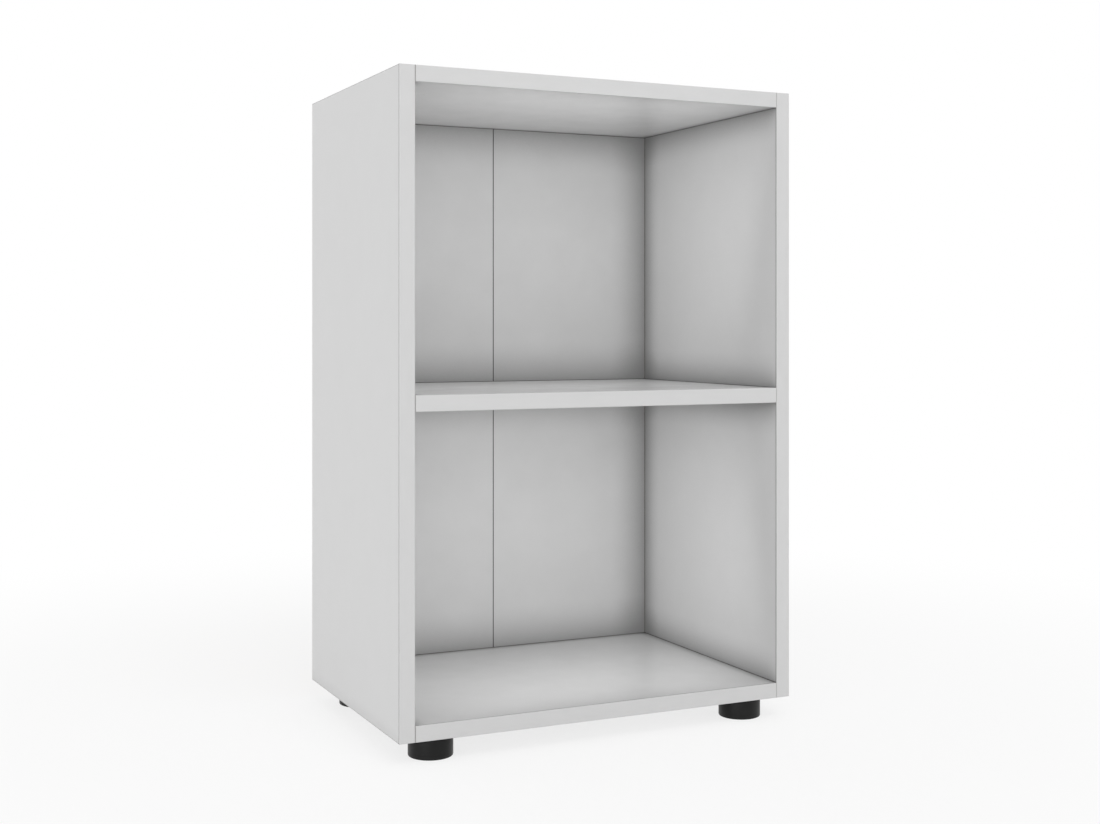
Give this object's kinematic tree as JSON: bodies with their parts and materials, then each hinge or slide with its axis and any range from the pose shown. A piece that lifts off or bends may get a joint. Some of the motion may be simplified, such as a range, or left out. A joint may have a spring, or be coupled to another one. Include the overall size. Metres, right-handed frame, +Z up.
{
  "type": "desktop file shelf",
  "caption": "Open melamine cabinet with a fixed middle shelf, tall compartments for upright files, a folded hardboard back and black levelling feet.",
  "frame": {"origin": "middle of the footprint, on the floor plane under the feet", "axes": "+Z up, the open front faces -Y, +X is the right-hand side seen from the front"},
  "size_m": [0.495, 0.3308, 0.75],
  "materials": {
    "melamine_board": "satin light grey melamine on chipboard",
    "edge_band": "satin light grey ABS edge band",
    "hardboard": "thin hardboard, light grey on the front and bare brown behind",
    "fold_tape": "pale adhesive tape",
    "nail_steel": "bright steel nails",
    "cam_zinc": "die-cast zinc",
    "bolt_steel": "zinc-plated steel",
    "beech": "turned beech dowel",
    "cap_plastic": "light grey plastic cap",
    "foot_plastic": "black moulded plastic, fine satin grain",
    "stud_steel": "zinc-plated steel thread",
    "insert_plastic": "white nylon insert"
  },
  "bodies": {
    "carcass": {"back_fold_tape": "fold_tape", "back_left_leaf": "hardboard", "back_nails": "nail_steel", "back_right_leaf": "hardboard", "bottom_cam_bolts": "bolt_steel", "bottom_cam_locks": "cam_zinc", "bottom_dowels": "beech", "bottom_panel": "melamine_board", "bottom_panel_front_band": "edge_band", "foot_inserts": "insert_plastic", "left_side_bottom_band": "edge_band", "left_side_front_band": "edge_band", "left_side_panel": "melamine_board", "left_side_top_band": "edge_band", "middle_shelf": "melamine_board", "middle_shelf_front_band": "edge_band", "right_side_bottom_band": "edge_band", "right_side_front_band": "edge_band", "right_side_panel": "melamine_board", "right_side_top_band": "edge_band", "shelf_cam_bolts": "bolt_steel", "shelf_cam_locks": "cam_zinc", "shelf_dowels": "beech", "top_cam_bolts": "bolt_steel", "top_cam_caps": "cap_plastic", "top_cam_locks": "cam_zinc", "top_dowels": "beech", "top_panel": "melamine_board", "top_panel_front_band": "edge_band"},
    "front_left_stud": {"front_left_foot_stud": "stud_steel"},
    "front_left_foot": {"front_left_foot": "foot_plastic"},
    "front_right_stud": {"front_right_foot_stud": "stud_steel"},
    "front_right_foot": {"front_right_foot": "foot_plastic"},
    "rear_left_stud": {"rear_left_foot_stud": "stud_steel"},
    "rear_left_foot": {"rear_left_foot": "foot_plastic"},
    "rear_right_stud": {"rear_right_foot_stud": "stud_steel"},
    "rear_right_foot": {"rear_right_foot": "foot_plastic"}
  },
  "joints": [
    {"name": "front_left_foot_travel", "type": "slide", "parent": "carcass", "child": "front_left_stud", "axis": [0, 0, -1], "range_m": [0, 0.008]},
    {"name": "front_left_foot_turn", "type": "hinge", "parent": "front_left_stud", "child": "front_left_foot", "pos_m": [-0.199, -0.1304, 0.0125], "axis": [0, 0, -1], "range_deg": [0, 2305]},
    {"name": "front_right_foot_travel", "type": "slide", "parent": "carcass", "child": "front_right_stud", "axis": [0, 0, -1], "range_m": [0, 0.008]},
    {"name": "front_right_foot_turn", "type": "hinge", "parent": "front_right_stud", "child": "front_right_foot", "pos_m": [0.199, -0.1304, 0.0125], "axis": [0, 0, -1], "range_deg": [0, 2305]},
    {"name": "rear_left_foot_travel", "type": "slide", "parent": "carcass", "child": "rear_left_stud", "axis": [0, 0, -1], "range_m": [0, 0.008]},
    {"name": "rear_left_foot_turn", "type": "hinge", "parent": "rear_left_stud", "child": "rear_left_foot", "pos_m": [-0.199, 0.1196, 0.0125], "axis": [0, 0, -1], "range_deg": [0, 2305]},
    {"name": "rear_right_foot_travel", "type": "slide", "parent": "carcass", "child": "rear_right_stud", "axis": [0, 0, -1], "range_m": [0, 0.008]},
    {"name": "rear_right_foot_turn", "type": "hinge", "parent": "rear_right_stud", "child": "rear_right_foot", "pos_m": [0.199, 0.1196, 0.0125], "axis": [0, 0, -1], "range_deg": [0, 2305]}
  ],
  "couplings": [
    {"joint": "front_left_foot_turn", "follows": "front_left_foot_travel", "rad_per_m": 5026.5},
    {"joint": "front_right_foot_turn", "follows": "front_right_foot_travel", "rad_per_m": 5026.5},
    {"joint": "rear_left_foot_turn", "follows": "rear_left_foot_travel", "rad_per_m": 5026.5},
    {"joint": "rear_right_foot_turn", "follows": "rear_right_foot_travel", "rad_per_m": 5026.5}
  ]
}
